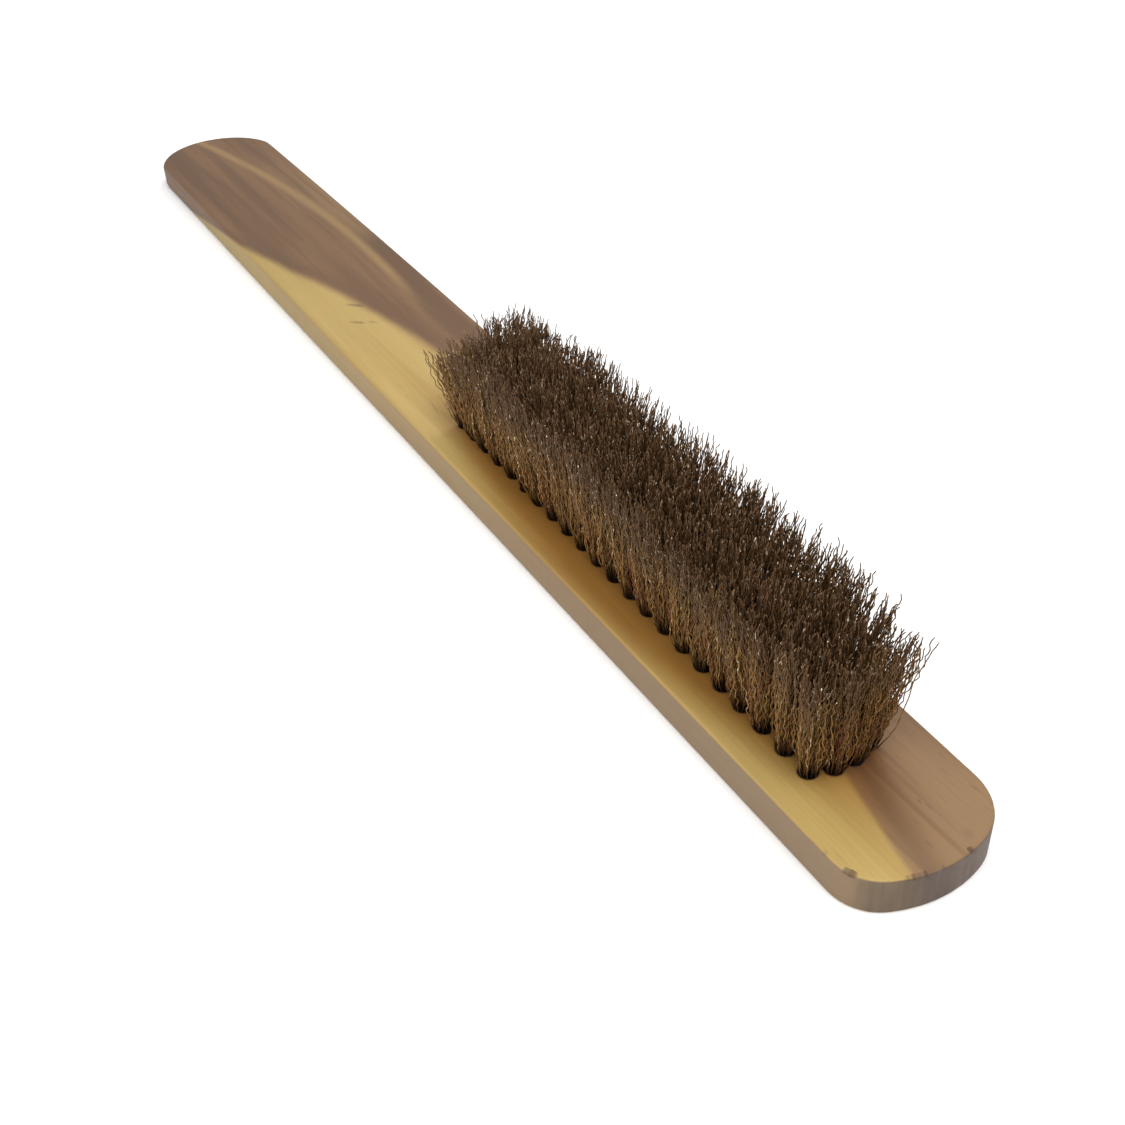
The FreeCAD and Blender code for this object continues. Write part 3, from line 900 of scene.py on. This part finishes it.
def brassMaterial():
    material, desk, surface, place = newMaterial("crimpedBrass")
    rise = desk.maths("SUBTRACT", desk.parts(place)["Z"], boardThick)
    tint = desk.attribute("wireTint")
    level = rise
    patches = desk.noise(place, *brass["patches"])
    for pattern, spread in ((patches, brass["patchSpread"]), (tint, brass["wireSpread"])):
        shift = desk.maths("MULTIPLY_ADD", pattern, spread, -spread / 2)
        level = desk.maths("ADD", level, shift)
    # darker towards the tips: partly real tarnish, partly painted shade deep in the mass of wires
    dark = desk.ramp(level, brass["darkFrom"], brass["darkTo"])
    colour = desk.blend(desk.ramp(tint, 0.2, 0.9), brass["clean"], brass["worn"])
    colour = desk.blend(desk.ramp(tint, 0.82, 0.88, 0.0, 0.8), colour, brass["copper"])
    colour = desk.blend(dark, colour, brass["tarnishAndShade"])
    glint = desk.ramp(desk.noise(place, *brass["glints"]), 0.62, 0.70)
    glint = desk.maths("MULTIPLY", glint, desk.ramp(tint, 0.0, 0.5, 1.0, 0.2))
    colour = desk.blend(glint, colour, brass["glint"])
    # painted shade down at the roots, partly real tarnish
    rootShadeAndTarnish = desk.ramp(rise, brass["rootStarts"], brass["rootEnds"], 0.95, 0.0)
    colour = desk.blend(rootShadeAndTarnish, colour, brass["root"])
    desk.feed(surface.inputs["Base Color"], colour)
    desk.feed(surface.inputs["Roughness"], desk.ramp(glint, 0.0, 1.0, *brass["roughness"]))
    shine = desk.ramp(dark, 0.0, 1.0, *brass["metallic"])
    shine = desk.maths("MAXIMUM", shine, desk.maths("MULTIPLY", glint, brass["glintMetallic"]))
    desk.feed(surface.inputs["Metallic"], shine)
    surface.inputs["Specular IOR Level"].default_value = brass["specular"]
    marksOfDrawing = desk.noise(place, *brass["drawMarks"])
    bump(desk, surface, marksOfDrawing, brass["bumpDepth"], brass["bumpStrength"])
    return material


def loosenTufts(rows):
    # gives each tuft its own lean and height, so that the mass is uneven and splayed at one corner
    chance = random.Random(tuftVariety["seed"])
    last = len(rows) - 1
    splayX, splayY = tuftVariety["splay"]
    for number, row in enumerate(rows):
        along = 2 * number / last - 1
        drop = tuftVariety["toeDrop" if along > 0 else "gripDrop"] * abs(along) ** 3
        for across, tuft in enumerate(row["tufts"]):
            turn = chance.uniform(0, 2 * math.pi)
            reach = chance.uniform(0, tuftVariety["lean"])
            tuft["lean"] = tuft["lean"] + Vector((math.cos(turn), math.sin(turn), 0)) * reach
            tuft["tall"] = tuftVariety["across"][across] - chance.random() * tuftVariety["height"] - drop
            if across < tuftVariety["splayTufts"]:
                splay = math.exp(-number / tuftVariety["splayRows"])
                tuft["lean"].x += splay * splayX * chance.uniform(tuftVariety["splayLeast"], 1)
                tuft["lean"].y += splay * splayY * chance.uniform(tuftVariety["splayLeast"], 1)
                tuft["tall"] -= splay * tuftVariety["splayDrop"]


loosenTufts(rows)
tree = wireTree(wires)
brassWire = brassMaterial()
wireFaces = 0
for number, row in enumerate(rows, 1):
    piece = growWires(f"wires_{number:02d}", row["tufts"], tree, brassWire, number)
    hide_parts(row["node"])
    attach(piece, "root")
    wireFaces += len(piece.data.polygons)
print("wires grown:", wireFaces, "faces")


steel = {
    "bright": linear(176, 178, 178),
    "dull": linear(128, 126, 120),
    "patches": 1.2,            # features per mm
    "roughness": (0.35, 0.55),
    "bumpDepth": 0.02 * mm,
    "bumpStrength": 0.4,
}


def anchorMaterial():
    material, desk, surface, place = newMaterial("anchorSteel")
    patches = desk.noise(place, steel["patches"])
    colour = desk.blend(desk.ramp(patches, 0.35, 0.7), steel["bright"], steel["dull"])
    desk.feed(surface.inputs["Base Color"], colour)
    desk.feed(surface.inputs["Roughness"], desk.ramp(patches, 0.3, 0.7, *steel["roughness"]))
    surface.inputs["Metallic"].default_value = 1.0
    bump(desk, surface, patches, steel["bumpDepth"], steel["bumpStrength"])
    return material


# the anchors keep their CAD shape
anchorSteel = anchorMaterial()
for name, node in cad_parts.items():
    if name.startswith("anchors_row"):
        for holder in node.material_slots:
            holder.material = anchorSteel
print("anchors finished")


studio = {
    "floorSize": 6.0,
    "floorColour": linear(250, 250, 250),
    "floorRoughness": 0.9,
    "sky": 0.75,
    "aim": (0.05, 0, 0),
    # place, power and size of each lamp
    "keyLamp": ((0.45, -0.10, 1.1), 8.0, 0.8),
    "fillLamp": ((0.5, -0.9, 0.6), 2.0, 0.8),
    "backLamp": ((-0.45, 0.55, 0.8), 2.5, 0.3),
}


def makeFloor():
    half = studio["floorSize"] / 2
    data = bpy.data.meshes.new("floor")
    corners = [(-half, -half, 0), (half, -half, 0), (half, half, 0), (-half, half, 0)]
    data.from_pydata(corners, [], [(0, 1, 2, 3)])
    floor = bpy.data.objects.new("floor", data)
    bpy.context.scene.collection.objects.link(floor)
    material = bpy.data.materials.new("floorPaper")
    material.use_nodes = True
    surface = material.node_tree.nodes["Principled BSDF"]
    surface.inputs["Base Color"].default_value = studio["floorColour"]
    surface.inputs["Roughness"].default_value = studio["floorRoughness"]
    data.materials.append(material)


def makeLamp(name, place, power, size):
    data = bpy.data.lights.new(name, "AREA")
    data.energy = power
    data.size = size
    lamp = bpy.data.objects.new(name, data)
    lamp.location = place
    towards = Vector(studio["aim"]) - Vector(place)
    lamp.rotation_euler = towards.to_track_quat("-Z", "Y").to_euler()
    bpy.context.scene.collection.objects.link(lamp)


def makeStudio():
    makeFloor()
    for name in ("keyLamp", "fillLamp", "backLamp"):
        makeLamp(name, *studio[name])
    world = bpy.data.worlds.new("studio")
    world.use_nodes = True
    sky = world.node_tree.nodes["Background"]
    sky.inputs["Color"].default_value = (1, 1, 1, 1)
    sky.inputs["Strength"].default_value = studio["sky"]
    bpy.context.scene.world = world
    bpy.context.scene.view_settings.view_transform = "Standard"


makeStudio()
print("studio lit")
